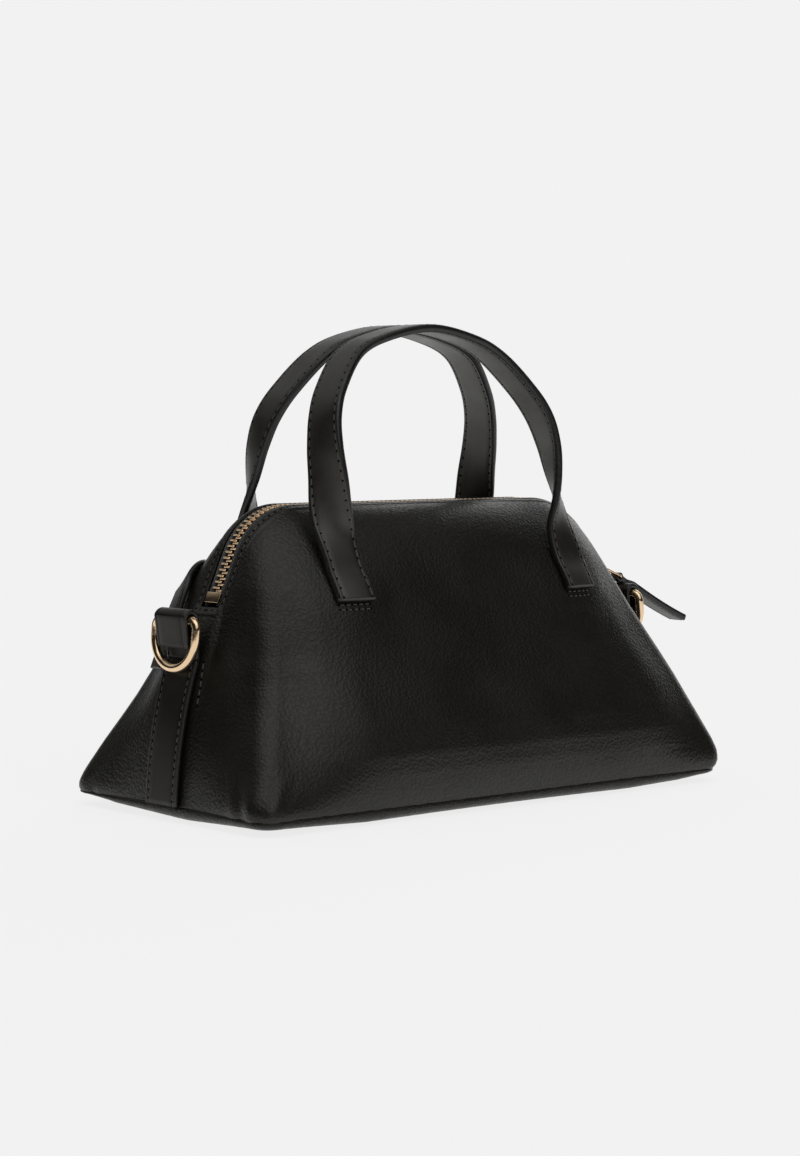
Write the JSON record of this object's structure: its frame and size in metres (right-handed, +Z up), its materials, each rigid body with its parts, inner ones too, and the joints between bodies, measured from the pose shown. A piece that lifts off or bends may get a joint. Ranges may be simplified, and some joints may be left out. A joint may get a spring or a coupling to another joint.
{
  "type": "tote bag",
  "caption": "Small zip-top tote bag: a trapeze-shaped leather body with two strap handles, a metal zip with a leather puller, and a D-ring at each end.",
  "frame": {"origin": "middle of the base's flat underside", "axes": "+X along the bag towards the end where the closed zip's slider is, -Y out of the front panel, +Z up"},
  "size_m": [0.3138, 0.133, 0.2063],
  "materials": {
    "leather_black": "pebbled, soft sheen",
    "leather_strap": "smooth, with painted edges",
    "light_gold": "polished light gold",
    "tape_black": "woven tape",
    "lining_black": "twill",
    "board_grey": "fibreboard"
  },
  "bodies": {
    "bag": {"front_panel": "leather_black", "rear_panel": "leather_black", "base_panel": "leather_black", "base_board": "board_grey", "lining": "lining_black", "inner_pocket": "lining_black", "zip_tape_front": "tape_black", "zip_tape_rear": "tape_black", "zip_teeth_front": "light_gold", "zip_teeth_rear": "light_gold", "zip_bottom_stop": "light_gold", "zip_top_stop_front": "light_gold", "zip_top_stop_rear": "light_gold", "side_strap_left": "leather_strap", "side_strap_right": "leather_strap", "front_handle_end_left": "leather_strap", "front_handle_end_right": "leather_strap", "rear_handle_end_left": "leather_strap", "rear_handle_end_right": "leather_strap", "shoulder_strap_end": "leather_strap"},
    "slider": {"slider_body": "light_gold"},
    "bail": {"slider_bail": "light_gold"},
    "puller": {"leather_puller": "leather_strap"},
    "left_ring": {"d_ring_left": "light_gold"},
    "right_ring": {"d_ring_right": "light_gold"},
    "front_handle": {"front_handle": "leather_strap"},
    "rear_handle": {"rear_handle": "leather_strap"}
  },
  "joints": [
    {"name": "zip_slide", "type": "slide", "parent": "bag", "child": "slider", "axis": [-0.6428, 0, 0.766], "range_m": [0, 0.02], "deforming": ["zip_teeth_front", "zip_teeth_rear"]},
    {"name": "bail_hinge", "type": "hinge", "parent": "slider", "child": "bail", "pos_m": [0.11832, 0, 0.09566], "axis": [0, -1, 0], "range_deg": [0, 60]},
    {"name": "puller_hinge", "type": "hinge", "parent": "bail", "child": "puller", "pos_m": [0.13225, 0, 0.09009], "axis": [0, -1, 0], "range_deg": [0, 70]},
    {"name": "left_ring_hinge", "type": "hinge", "parent": "bag", "child": "left_ring", "pos_m": [-0.1255, 0, 0.083], "axis": [0, 1, 0], "range_deg": [0, 150]},
    {"name": "right_ring_hinge", "type": "hinge", "parent": "bag", "child": "right_ring", "pos_m": [0.133, 0, 0.083], "axis": [0, -1, 0], "range_deg": [0, 60]},
    {"name": "front_handle_hinge", "type": "hinge", "parent": "bag", "child": "front_handle", "pos_m": [0, -0.03746, 0.099], "axis": [1, 0, 0], "range_deg": [0, 90]},
    {"name": "rear_handle_hinge", "type": "hinge", "parent": "bag", "child": "rear_handle", "pos_m": [0, 0.03746, 0.099], "axis": [-1, 0, 0], "range_deg": [0, 90]}
  ]
}
